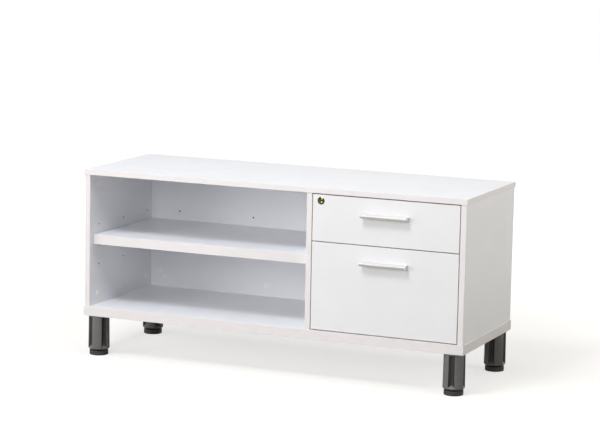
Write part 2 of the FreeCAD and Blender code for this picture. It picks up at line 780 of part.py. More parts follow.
def build_drawer(storey, front_bottom, front_top, bottom, top):
    """A front on a box of four boards, whose floor lies in a groove of the sides."""
    front = board(storey + "_drawer_front", "XZ_Plane", "-boxFrontY",
                  ("frontLeft", front_bottom), ("frontRight", front_top), "boardThin")
    handleTop = front_top + " - handleDrop"
    drill(front, storey + "_front_screw_holes", "XZ_Plane", "-boxFrontY",
          [(column, "%s - handleHeight / 2" % handleTop) for column in handleScrewColumns],
          "handleScrewRadius + fitGap", "boardThin", True)
    if storey == "upper":
        drill(front, "lock_hole", "XZ_Plane", "-boxFrontY", [("lockX", "lockZ")],
              "lockBodyRadius + fitGap", "boardThin", True)
    build_handle(storey, handleTop)

    grooveLow = bottom + " + boxGrooveRise"
    grooveHigh = grooveLow + " + boxFloor + 2 * fitGap"
    for hand, outer, sign in (("left", "boxLeft", "+"), ("right", "boxRight", "-")):
        name = "%s_drawer_%s_side" % (storey, hand)
        inner = "%s %s boxSide" % (outer, sign)
        grooved = "%s %s (boxSide - boxGroove)" % (outer, sign)
        side = new_body(name)
        section = new_sketch(side, name + "_section", "XZ_Plane", "-boxBackY")
        add_outline(section, [
            (outer, bottom), (inner, bottom), (inner, grooveLow), (grooved, grooveLow),
            (grooved, grooveHigh), (inner, grooveHigh), (inner, top), (outer, top)])
        add_pad(side, name + "_board", section, "boxDepth")
    board(storey + "_drawer_floor", "XY_Plane", grooveLow + " + fitGap",
          ("boxLeft + boxSide - boxGroove + fitGap", "boxFrontY"),
          ("boxRight - boxSide + boxGroove - fitGap", "boxBackY"), "boxFloor")
    board(storey + "_drawer_back", "XZ_Plane", "-boxBackY",
          ("boxLeft + boxSide", grooveHigh), ("boxRight - boxSide", top), "boxBack")


def build_catch(storey, bottom):
    """An angle on the drawer's left side, whose lip stands just behind the lock bar's peg."""
    name = storey + "_drawer_catch"
    lip = "barFrontY + barWidth / 2 + pegRadius + catchPlay"
    body = new_body(name)
    section = new_sketch(body, name + "_section", "XY_Plane", bottom)
    add_outline(section, [
        ("boxLeft", lip), ("boxLeft - catchReach", lip), ("boxLeft - catchReach", lip + " + catchSheet"),
        ("boxLeft - catchSheet", lip + " + catchSheet"), ("boxLeft - catchSheet", lip + " + catchDepth"),
        ("boxLeft", lip + " + catchDepth")])
    add_pad(body, name + "_angle", section, "catchHeight")


# ---------------------------------------------------------------- lock
def build_lock():
    """Lock body in the upper front, its plug with a crank, and the bar that the crank lifts."""
    faceY = "frontY - lockFaceThickness"
    bodyEnd = "lockFaceThickness + boardThin + lockBodyStandout"
    housing = new_body("lock_housing")
    turned(housing, "housing_profile", [
        ("lockPlugRadius + lockPlugGap", "0"), ("lockFaceRadius", "0"),
        ("lockFaceRadius", "lockFaceThickness"), ("lockBodyRadius", "lockFaceThickness"),
        ("lockBodyRadius", bodyEnd), ("lockPlugRadius + lockPlugGap", bodyEnd)])
    housing.Placement = FreeCAD.Placement(FreeCAD.Vector(), turns["y"])
    put(housing, ("lockX", faceY, "lockZ"))

    plug = new_body("lock_plug")
    crankStart = bodyEnd + " + memberGap"
    crankRadius = "crankThrow + crankPinRadius + crankRim"
    turned(plug, "plug_profile", [
        ("0", "0"), ("lockPlugRadius", "0"), ("lockPlugRadius", crankStart), (crankRadius, crankStart),
        (crankRadius, crankStart + " + crankThickness"), ("0", crankStart + " + crankThickness")])
    pin = new_sketch(plug, "crank_pin_outline", "XY_Plane", crankStart + " + crankThickness")
    add_circles(pin, [("0", "crankThrow")], "crankPinRadius")
    add_pad(plug, "crank_pin", pin, "crankPinLength")
    key = new_sketch(plug, "keyway_outline", "XY_Plane", "0")
    add_outline(key, rectangle(("-keyWidth / 2", "-keyHeight / 2"), ("keyWidth / 2", "keyHeight / 2")))
    add_pocket(plug, "keyway", key, "keyDepth", True)
    plug.Placement = FreeCAD.Placement(FreeCAD.Vector(), turns["y"])
    put(plug, ("lockX", faceY, "lockZ"))


def build_lock_bar():
    """The bar slides in a groove of the divider; its head takes the crank, its pegs the catches."""
    inner = "dividerRight - barGap - barThickness"
    outer = "dividerRight - barGap"
    pinRoom = "crankPinRadius + crankPinSlack"
    strip = make_box("lock_bar_strip", (inner, "barFrontY", "barBottom"),
                     ("barThickness", "barWidth", "barHeadTop - barBottom"))
    headPlate = make_box("lock_bar_head_plate",
                         (inner, "barFrontY + barWidth - barHeadThickness", "barHeadBottom"),
                         ("lockX + %s + barHeadEnd - (%s)" % (pinRoom, inner), "barHeadThickness",
                          "barHeadTop - barHeadBottom"))
    window = make_box("lock_bar_head_window",
                      ("lockX - crankThrow - (%s)" % pinRoom, "barFrontY", "barHeadBottom + barHeadEdge"),
                      ("crankThrow + 2 * (%s)" % pinRoom, "barWidth + barGap",
                       "barHeadTop - barHeadBottom - 2 * barHeadEdge"))
    pieces = [strip, make_cut("lock_bar_head", headPlate, [window])]
    for storey, catch in (("upper", "upperCatchBottom"), ("lower", "lowerCatchBottom")):
        pieces.append(make_rod("lock_bar_peg_" + storey, "x",
                               (outer, "barFrontY + barWidth / 2", "%s - pegBelowCatch" % catch),
                               "pegRadius", "barGap + pegReach"))
    keep(make_union("lock_bar", pieces), "lock_bar")
    guides = []
    for place, bottom in (("lower", "lowerCatchBottom - guideSpread"),
                          ("upper", "lowerCatchBottom + guideSpread")):
        guides.append(make_box("lock_bar_guide_" + place, ("dividerRight", "barFrontY - guideWing", bottom),
                               ("guideSheet", "barWidth + 2 * guideWing", "guideHeight")))
    keep(make_group("lock_bar_guides", guides), "lock_bar_guides")


build_top_and_base()
build_uprights()
build_back_panel()
build_shelf()
build_connectors()
build_legs()
build_runners()
build_drawer("upper", "upperFrontBottom", "upperFrontTop", "upperBoxBottom", "upperBoxTop")
build_drawer("lower", "lowerFrontBottom", "lowerFrontTop", "lowerBoxBottom", "lowerBoxTop")
build_catch("upper", "upperCatchBottom")
build_catch("lower", "lowerCatchBottom")
build_lock()
build_lock_bar()
doc.recompute()

# ---------------------------------------------------------------- check and write
for thing in doc.Objects:
    if "Invalid" in thing.State or "Error" in thing.State:
        raise RuntimeError("failed: %s %s" % (thing.Name, thing.State))
for thing in nodes:
    if thing.Shape.isNull() or not thing.Shape.isValid():
        raise RuntimeError("bad shape: " + thing.Label)
for thing in nodes:
    thing.Shape.exportStep("parts/%s.step" % thing.Label)
    print(thing.Label, len(thing.Shape.Solids), round(thing.Shape.Volume))
print(len(nodes), "sub-parts")
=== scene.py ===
import json
import math

import bmesh
import bpy
from mathutils import Euler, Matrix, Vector

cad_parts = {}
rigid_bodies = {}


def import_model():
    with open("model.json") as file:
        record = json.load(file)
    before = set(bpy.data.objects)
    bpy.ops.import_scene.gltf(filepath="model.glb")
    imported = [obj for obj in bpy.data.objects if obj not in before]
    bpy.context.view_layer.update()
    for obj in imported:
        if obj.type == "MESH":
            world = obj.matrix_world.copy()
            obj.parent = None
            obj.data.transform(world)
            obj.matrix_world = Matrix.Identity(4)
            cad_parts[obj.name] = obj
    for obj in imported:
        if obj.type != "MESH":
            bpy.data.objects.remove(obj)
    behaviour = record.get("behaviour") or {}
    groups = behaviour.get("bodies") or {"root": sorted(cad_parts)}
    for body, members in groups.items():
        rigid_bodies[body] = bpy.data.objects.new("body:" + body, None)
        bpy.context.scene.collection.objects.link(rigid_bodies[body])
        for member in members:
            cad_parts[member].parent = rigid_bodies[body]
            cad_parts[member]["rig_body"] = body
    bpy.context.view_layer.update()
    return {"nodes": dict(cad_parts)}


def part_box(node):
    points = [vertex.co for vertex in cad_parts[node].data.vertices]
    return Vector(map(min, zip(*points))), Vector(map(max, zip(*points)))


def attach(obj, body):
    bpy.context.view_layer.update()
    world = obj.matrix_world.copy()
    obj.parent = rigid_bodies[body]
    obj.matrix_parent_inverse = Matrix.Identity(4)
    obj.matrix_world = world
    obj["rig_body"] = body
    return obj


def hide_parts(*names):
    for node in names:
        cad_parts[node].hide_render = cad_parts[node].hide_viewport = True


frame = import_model()
print("frame loaded:", len(frame["nodes"]), "nodes")

mm = 0.001


def linearColour(hexText):
    # sRGB hex to the linear colour that shaders take
    parts = [int(hexText[i:i + 2], 16) / 255 for i in (1, 3, 5)]
    return [p / 12.92 if p <= 0.04045 else ((p + 0.055) / 1.055) ** 2.4 for p in parts] + [1.0]


maths = "ShaderNodeMath"


def addNode(tree, kind, settings={}, sockets={}):
    # settings can be an operation's name alone, and sockets a list in the node's own order;
    # a node that is given as a value lends its first output
    node = tree.nodes.new(kind)
    if isinstance(settings, str):
        settings = {"operation": settings}
    for name, value in settings.items():
        setattr(node, name, value)
    for key, value in sockets.items() if isinstance(sockets, dict) else enumerate(sockets):
        if isinstance(value, bpy.types.Node):
            value = value.outputs[0]
        if isinstance(value, bpy.types.NodeSocket):
            tree.links.new(value, node.inputs[key])
        else:
            node.inputs[key].default_value = value
    return node


def startMaterial(name, uniform):
    # one Principled shader, with its even values set on the shader itself
    material = bpy.data.materials.new(name)
    material.use_nodes = True
    tree = material.node_tree
    tree.nodes.clear()
    shader = addNode(tree, "ShaderNodeBsdfPrincipled", sockets=uniform)
    addNode(tree, "ShaderNodeOutputMaterial", sockets={"Surface": shader})
    place = addNode(tree, "ShaderNodeTexCoord").outputs["Object"]
    return material, tree, shader, place


patternSpan = (0.3, 0.7)   # the range of a pattern's values that colours and roughness spread over


def addPattern(tree, shader, place, kind, grain, stretch=(1, 1, 1), colours=None, roughness=None,
               bump=None, detail=3):
    # noise or cells, with a grain given in millimetres, that shift colour, roughness and height together
    mapped = addNode(tree, "ShaderNodeMapping", sockets={"Vector": place, "Scale": stretch})
    sockets = {"Vector": mapped, "Scale": 1 / (grain * mm)}
    if kind == "cells":
        pattern = addNode(tree, "ShaderNodeTexVoronoi", sockets=sockets).outputs["Distance"]
    else:
        sockets.update({"Detail": detail, "Roughness": 0.55})
        pattern = addNode(tree, "ShaderNodeTexNoise", {"noise_dimensions": "3D"}, sockets).outputs[0]
    if colours:
        ramp = addNode(tree, "ShaderNodeValToRGB", sockets={"Fac": pattern})
        for stop, position, colour in zip(ramp.color_ramp.elements, patternSpan, colours):
            stop.position = position
            stop.color = linearColour(colour)
        tree.links.new(ramp.outputs[0], shader.inputs["Base Color"])
    if roughness:
        span = addNode(tree, "ShaderNodeMapRange", sockets={
            "Value": pattern, "From Min": patternSpan[0], "From Max": patternSpan[1],
            "To Min": roughness[0], "To Max": roughness[1]})
        tree.links.new(span.outputs[0], shader.inputs["Roughness"])
    if bump:
        height = addNode(tree, "ShaderNodeBump", sockets={
            "Height": pattern, "Strength": bump[0], "Distance": bump[1]})
        tree.links.new(height.outputs[0], shader.inputs["Normal"])


# white melamine, pearl press: a satin board face. Its pressed grain is about 0.4 mm and too fine to show,
# so it is drawn at 1.1 mm; the slow drift of the white over 110 mm is that of a large sheet
whiteMelamine, tree, shader, place = startMaterial(
    "whiteMelaminePearl", {"IOR": 1.5, "Specular IOR Level": 0.45})
addPattern(tree, shader, place, "noise", 110, colours=("#F0F1F4", "#F3F4F7"), detail=2)
addPattern(tree, shader, place, "noise", 1.1, roughness=(0.42, 0.52), bump=(0.10, 0.05 * mm), detail=2)

# the drawer fronts' melamine: the same press, painted a shade greyer as painted shade on the front faces
shadedFrontMelamine, tree, shader, place = startMaterial(
    "whiteMelamineFrontsShaded", {"IOR": 1.5, "Specular IOR Level": 0.45})
addPattern(tree, shader, place, "noise", 110, colours=("#E8E8E8", "#EBEBEB"), detail=2)
addPattern(tree, shader, place, "noise", 1.1, roughness=(0.42, 0.52), bump=(0.10, 0.05 * mm), detail=2)

# 2 mm plastic edge band: a little warmer and smoother than the face. Its embossing is drawn at 2.4 mm,
# several times its size, to show at all
edgeBand, tree, shader, place = startMaterial("whiteEdgeBandAbs", {"IOR": 1.52})
addPattern(tree, shader, place, "noise", 70, colours=("#E6E2E1", "#EAE6E5"), detail=2)
addPattern(tree, shader, place, "noise", 2.4, roughness=(0.36, 0.44), bump=(0.08, 0.04 * mm))

# the fronts' own edge band: tinted cream as painted warm bounce light, which warms the lines between the
# drawers
warmTintedFrontBand, tree, shader, place = startMaterial("frontEdgeBandPaintedWarmth", {"IOR": 1.52})
addPattern(tree, shader, place, "noise", 70, colours=("#E5D8CE", "#EADFD6"), detail=2)
addPattern(tree, shader, place, "noise", 2.4, roughness=(0.36, 0.44), bump=(0.08, 0.04 * mm))

# bare particle board inside the drilled holes and on hidden ends: brown chips about 2 mm long, painted much
# darker than raw board as shade in the holes
coreAndHoleShade, tree, shader, place = startMaterial("particleBoardCoreHoleShade", {"IOR": 1.45})
addPattern(tree, shader, place, "cells", 2.2, colours=("#33271C", "#5A4634"), roughness=(0.8, 0.95),
           bump=(0.5, 0.3 * mm))

# foil-wrapped drawer board: light grey, flatter than the fronts, its print grain drawn at 1.7 mm
drawerBoard, tree, shader, place = startMaterial("lightGreyDrawerFoil", {"IOR": 1.48})
addPattern(tree, shader, place, "noise", 85, colours=("#D3D3D1", "#D9D9D7"), detail=2)
addPattern(tree, shader, place, "noise", 1.7, roughness=(0.5, 0.6), bump=(0.12, 0.05 * mm))

# pressed polyethylene caps: slightly whiter and waxier than the boards, with a faint cloud 4 mm across
whiteCap, tree, shader, place = startMaterial(
    "whitePolyethyleneCap", {"IOR": 1.51, "Subsurface Weight": 0.05})
addPattern(tree, shader, place, "noise", 3.8, colours=("#FBFAF5", "#FEFDF9"), roughness=(0.46, 0.56),
           bump=(0.06, 0.05 * mm))

# injection-moulded black plastic of the legs: lands charcoal grey in clouds 17 mm across, flutes painted
# near-black with their depth as painted shade; the spark-eroded grain is drawn at 0.77 mm, about ten times
# its size
legPlastic, tree, shader, place = startMaterial(
    "blackMouldedLegPlastic", {"IOR": 1.5, "Specular IOR Level": 0.4})
addPattern(tree, shader, place, "noise", 0.77, roughness=(0.38, 0.48), bump=(0.12, 0.05 * mm), detail=2)
cloud = addNode(tree, "ShaderNodeTexNoise", sockets={"Vector": place, "Scale": 1 / (17 * mm), "Detail": 3})
landTone = addNode(tree, "ShaderNodeValToRGB", sockets={"Fac": cloud})
landTone.color_ramp.elements[0].color = linearColour("#626160")
landTone.color_ramp.elements[1].color = linearColour("#706F6E")
# painted shade: the deeper a point lies in a flute, the nearer its colour comes to near-black
deep = addNode(tree, "ShaderNodeAttribute", {"attribute_name": "depth"}).outputs["Fac"]
landsAndFluteShade = addNode(tree, "ShaderNodeMix", {"data_type": "RGBA"}, {
    "Factor": deep, "A": landTone, "B": linearColour("#262524")})
tree.links.new(landsAndFluteShade.outputs["Result"], shader.inputs["Base Color"])

# softer black plastic of the screw feet: matt so that it does not slide, its grain drawn at 0.9 mm
footPlastic, tree, shader, place = startMaterial("blackMouldedFootPlastic", {"IOR": 1.5})
addPattern(tree, shader, place, "noise", 11, colours=("#2B2A29", "#353433"))
addPattern(tree, shader, place, "noise", 0.9, roughness=(0.48, 0.6), bump=(0.3, 0.1 * mm), detail=2)

# satin silver of the handles: aluminium under a pale matt lacquer, so that it shades softly and hardly
# mirrors; the brushing runs along the bar, and its lines are drawn 1.1 mm apart to show
satinAluminium, tree, shader, place = startMaterial("satinLacqueredAluminium", {"Metallic": 0.1, "IOR": 1.5})
addPattern(tree, shader, place, "noise", 1.1, stretch=(0.03, 1, 1), colours=("#D3D2D1", "#DAD9D8"),
           roughness=(0.4, 0.46), bump=(0.015, 0.02 * mm))

# brass of the lock, lacquer gone dull: dark olive tarnish in 3 mm blotches, with two painted highlights
lockBrassPaintedGlints, tree, shader, place = startMaterial("tarnishedLockBrassPaintedGlints", {"Metallic": 1.0})
addPattern(tree, shader, place, "noise", 3.1, colours=("#33341A", "#5E5E30"), roughness=(0.14, 0.24),
           bump=(0.04, 0.02 * mm))
tarnishAndGlints = shader.inputs["Base Color"].links[0].from_socket
# two painted highlights, pale glints painted into the colour on the ring's shoulder and beside the keyway:
# millimetres to the right of the lock's middle and above it, radius, colour
lockLow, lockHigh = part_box("lock_housing")
lockMiddle = (lockLow + lockHigh) / 2
for acrossX, acrossZ, glintRadius, shine in ((4.4, 6.9, 4.0, "#B2B38A"), (2.4, -3.5, 2.4, "#EDEBC4")):
    spot = (lockMiddle.x + acrossX * mm, lockLow.y, lockMiddle.z + acrossZ * mm)
    glintDistance = addNode(tree, "ShaderNodeVectorMath", "DISTANCE", [place, spot]).outputs["Value"]
    glintMask = addNode(tree, "ShaderNodeMapRange", {"interpolation_type": "SMOOTHSTEP"}, {
        "Value": glintDistance, "From Min": glintRadius * 0.55 * mm, "From Max": glintRadius * mm, "To Min": 1.0, "To Max": 0.0})
    # each spot mixes its painted glint colour over the tarnish, fading out towards its edge
    tarnishAndGlints = addNode(tree, "ShaderNodeMix", {"data_type": "RGBA"}, {
        "Factor": glintMask, "A": tarnishAndGlints, "B": linearColour(shine)}).outputs["Result"]
tree.links.new(tarnishAndGlints, shader.inputs["Base Color"])

# zinc-plated sheet steel of runners and lock bar: grey-blue with a faint bloom in clouds of 14 mm
zincSheet, tree, shader, place = startMaterial("zincPlatedSheetSteel", {"Metallic": 1.0})
addPattern(tree, shader, place, "noise", 14, colours=("#9FA5AA", "#B6BABD"), roughness=(0.28, 0.42),
           bump=(0.05, 0.05 * mm))

# zinc-plated screws: brighter and smoother than the sheet
zincScrew, tree, shader, place = startMaterial("zincPlatedScrewSteel", {"Metallic": 1.0})
addPattern(tree, shader, place, "noise", 2, colours=("#B4B7B8", "#C8CACA"), roughness=(0.22, 0.32),
           bump=(0.05, 0.03 * mm))

# nickel-plated shelf pins: tight, slightly warm reflections
nickelPin, tree, shader, place = startMaterial("nickelPlatedPin", {"Metallic": 1.0})
addPattern(tree, shader, place, "noise", 1.4, colours=("#BDB8AE", "#CBC6BD"), roughness=(0.16, 0.26),
           bump=(0.04, 0.02 * mm))

# die-cast zinc of the cams: dull and finely pitted
castZinc, tree, shader, place = startMaterial("dieCastZinc", {"Metallic": 1.0})
addPattern(tree, shader, place, "cells", 0.67, colours=("#86898B", "#A2A5A6"), roughness=(0.45, 0.6),
           bump=(0.2, 0.05 * mm))

# beech dowels: pale straw with grain 1.1 mm wide and long along the pin
beech, tree, shader, place = startMaterial("beechDowelWood", {"IOR": 1.45})
addPattern(tree, shader, place, "noise", 1.1, stretch=(1, 1, 0.08), colours=("#C9A273", "#DDBB8E"),
           roughness=(0.55, 0.7), bump=(0.3, 0.1 * mm))
print("materials ready")


weld = 0.002 * mm   # vertices nearer than this are one


def finishPiece(name, bm, materials, body, nodes, sharpAngle=None):
    # one mesh piece that rides on its body and stands in for the nodes it replaces
    mesh = bpy.data.meshes.new(name)
    bm.to_mesh(mesh)
    bm.free()
    piece = bpy.data.objects.new(name, mesh)
    bpy.context.scene.collection.objects.link(piece)
    for material in materials:
        mesh.materials.append(material)
    if sharpAngle:
        mesh.set_sharp_from_angle(angle=math.radians(sharpAngle))
    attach(piece, body)
    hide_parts(*nodes)
    return piece


def mergedCopy(nodeName):
    # loose triangles joined up, and flat faces made whole again
    bm = bmesh.new()
    bm.from_mesh(frame["nodes"][nodeName].data)
    bmesh.ops.remove_doubles(bm, verts=bm.verts, dist=weld)
    bmesh.ops.dissolve_degenerate(bm, edges=bm.edges, dist=0.001 * mm)
    bmesh.ops.dissolve_limit(bm, angle_limit=math.radians(0.4), verts=bm.verts, edges=bm.edges)
    return bm


def bodyOf(nodeName):
    return frame["nodes"][nodeName]["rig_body"]


boardLook = {
    "easing": 0.5 * mm,      # rounding of the outer edges
    "segments": 3,
    "flatness": 0.02 * mm,   # how near a face lies to the board's box
}


def makeBoard(nodeName, face, band):
    # two broad faces, banded edges with an easing, and bare core, darkened with painted shade, in holes and
    # grooves
    low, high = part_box(nodeName)
    thin = min(range(3), key=lambda axis: high[axis] - low[axis])
    bm = mergedCopy(nodeName)

    def sideOf(element):
        # (axis, end) of the box side that a face lies on, or None inside the box
        for axis in range(3):
            for end, level in ((0, low[axis]), (1, high[axis])):
                if all(abs(v.co[axis] - level) < boardLook["flatness"] for v in element.verts):
                    return axis, end
        return None

    borders = []
    for edge in bm.edges:
        if len(edge.link_faces) == 2:
            sides = [sideOf(f) for f in edge.link_faces]
            if None not in sides and sides[0] != sides[1]:
                borders.append(edge)
    for patch in bm.faces:
        side = sideOf(patch)
        patch.material_index = 2 if side is None else 0 if side[0] == thin else 1
        patch.smooth = side is None
    result = bmesh.ops.bevel(bm, geom=borders, offset=boardLook["easing"], segments=boardLook["segments"],
                             profile=0.5, affect="EDGES", clamp_overlap=False, material=-1)
    for patch in result["faces"]:
        patch.smooth = True
    return finishPiece(nodeName + "_finished", bm, [face, band, coreAndHoleShade], bodyOf(nodeName), [nodeName])


for nodeName in ("top_panel", "base_panel", "left_side_panel", "divider_panel", "right_side_panel",
                 "back_panel", "adjustable_shelf"):
    makeBoard(nodeName, whiteMelamine, edgeBand)
for storey in ("upper", "lower"):
    makeBoard(storey + "_drawer_front", shadedFrontMelamine, warmTintedFrontBand)
    for part in ("left_side", "right_side", "floor", "back"):
        makeBoard("%s_drawer_%s" % (storey, part), drawerBoard, drawerBoard)
print("boards ready")


def makeEased(nodeName, material, width, segments=2, angle=35, sharp=40, shape=None, flush=None):
    # every edge steeper than the angle is rounded; flush is the level in Y where the piece lies against
    # its neighbour, and the edges there stay crisp
    bm = mergedCopy(nodeName)
    if shape:
        shape(bm, *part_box(nodeName))
    edges = [e for e in bm.edges if len(e.link_faces) == 2 and e.calc_face_angle(0) > math.radians(angle)
             and (flush is None or any(abs(v.co.y - flush) > boardLook["flatness"] for v in e.verts))]
    bmesh.ops.bevel(bm, geom=edges, offset=width, segments=segments, profile=0.5, affect="EDGES",
                    clamp_overlap=True, material=-1)
    for patch in bm.faces:
        patch.smooth = True
    made = finishPiece(nodeName + "_finished", bm, [material], bodyOf(nodeName), [nodeName], sharp)
    made.modifiers.new("flatFacesStayFlat", "WEIGHTED_NORMAL").keep_sharp = True
    return made


handleLook = {
    "nose": 7.0 * mm,                          # radius of the rounded upper front edge
    "level": 2.0 * mm,                         # how much of the top stays level
    "swell": 2.5,                              # how full its fall to the nose is, where 2 is an ellipse
    "tuck": 7.0 * mm, "tuckFrom": 2.5 * mm,    # how far the lower front runs back, and from which depth
    "lip": 4.0 * mm,                           # thickness of the front before the finger hollow
    "reach": 0.7 * mm,                         # how far the nose is then drawn forward again
    "skin": 0.97,                              # share of the nose's radius beyond which a point is on it
    "rows": (2.5, 3.5, 4.5, 5.5, 6.5, 7.5, 8.6, 9.7, 10.8),   # cuts below the top, in millimetres
    "ranks": (3, 5, 7, 9, 11, 13),                            # cuts ahead of the rear, in millimetres
}


def swellHandle(bm, low, high):
    # the top falls in a full curve to the nose, and the lower front runs back under it
    look = handleLook
    cuts = [((0, 0, high.z - row * mm), (0, 0, 1)) for row in look["rows"]]
    cuts += [((0, high.y - rank * mm, 0), (0, 1, 0)) for rank in look["ranks"]]
    for spot, normal in cuts:
        bmesh.ops.bisect_plane(bm, geom=bm.verts[:] + bm.edges[:] + bm.faces[:], dist=0.001 * mm,
                               plane_co=spot, plane_no=normal)
    noseStart = low.y + look["nose"]
    start = high.y - look["level"]
    for vertex in bm.verts:
        under = high.z - vertex.co.z
        onNose = (vertex.co.y <= noseStart and under <= look["nose"]
                  and math.hypot(vertex.co.y - noseStart, under - look["nose"]) > look["nose"] * look["skin"])
        if onNose or under < boardLook["flatness"]:
            share = min(max((start - vertex.co.y) / (start - low.y), 0.0), 1.0)
            fall = look["nose"] * (1 - (1 - share ** look["swell"]) ** (1 / look["swell"]))
            under = max(under, fall)
            vertex.co.z = high.z - under
        if vertex.co.y < low.y + look["lip"] + boardLook["flatness"] and under > look["tuckFrom"]:
            share = (under - look["tuckFrom"]) / (high.z - low.z - look["tuckFrom"])
            vertex.co.y += look["tuck"] * share ** 2
        if vertex.co.y < noseStart:
            vertex.co.y = max(vertex.co.y - look["reach"] * (noseStart - vertex.co.y) / look["nose"], low.y)


for storey in ("upper", "lower"):
    makeEased(storey + "_drawer_handle", satinAluminium, 0.6 * mm, 3, shape=swellHandle,
              flush=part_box(storey + "_drawer_handle")[1].y)
    makeEased(storey + "_drawer_catch", zincSheet, 0.3 * mm)
    for hand in ("left", "right"):
        for member in ("cabinet", "middle", "drawer"):
            makeEased("%s_runner_%s_%s_member" % (storey, hand, member), zincSheet,
                      0.35 * mm)
makeEased("lock_bar", zincSheet, 0.4 * mm)
makeEased("lock_bar_guides", zincSheet, 0.25 * mm)
makeEased("lock_plug", lockBrassPaintedGlints, 0.25 * mm)
for corner in ("front_left", "front_right", "rear_left", "rear_right"):
    makeEased("leg_collar_" + corner, legPlastic, 0.4 * mm)
print("eased pieces ready")


def newTree(name, inputs):
    tree = bpy.data.node_groups.new(name, "GeometryNodeTree")
    tree.interface.new_socket("Geometry", in_out="INPUT", socket_type="NodeSocketGeometry")
    for label, (kind, value) in inputs.items():
        socket = tree.interface.new_socket(label, in_out="INPUT", socket_type="NodeSocket" + kind)
        if value is not None:
            socket.default_value = value
    tree.interface.new_socket("Geometry", in_out="OUTPUT", socket_type="NodeSocketGeometry")
    return tree, addNode(tree, "NodeGroupInput").outputs


def endTree(tree, given, geometry):
    solid = addNode(tree, "GeometryNodeRealizeInstances", sockets={"Geometry": geometry})
    painted = addNode(tree, "GeometryNodeSetMaterial", sockets={
        "Geometry": solid, "Material": given["Material"]})
    addNode(tree, "NodeGroupOutput", sockets=[painted])


def growPiece(name, tree, start, values, body, nodes, sharpAngle=38):
    # the tree runs on a start mesh, and its outcome is kept as one plain mesh
    seed = bpy.data.objects.new(name + "_seed", start)
    bpy.context.scene.collection.objects.link(seed)
    modifier = seed.modifiers.new(name, "NODES")
    modifier.node_group = tree
    for item in tree.interface.items_tree:
        if item.item_type == "SOCKET" and item.in_out == "INPUT" and item.name in values:
            modifier[item.identifier] = values[item.name]
    grown = bpy.data.meshes.new_from_object(seed.evaluated_get(bpy.context.evaluated_depsgraph_get()))
    bpy.data.objects.remove(seed)
    bm = bmesh.new()
    bm.from_mesh(grown)
    bmesh.ops.recalc_face_normals(bm, faces=bm.faces)
    for patch in bm.faces:
        patch.smooth = True
    return finishPiece(name, bm, list(grown.materials), body, nodes, sharpAngle)


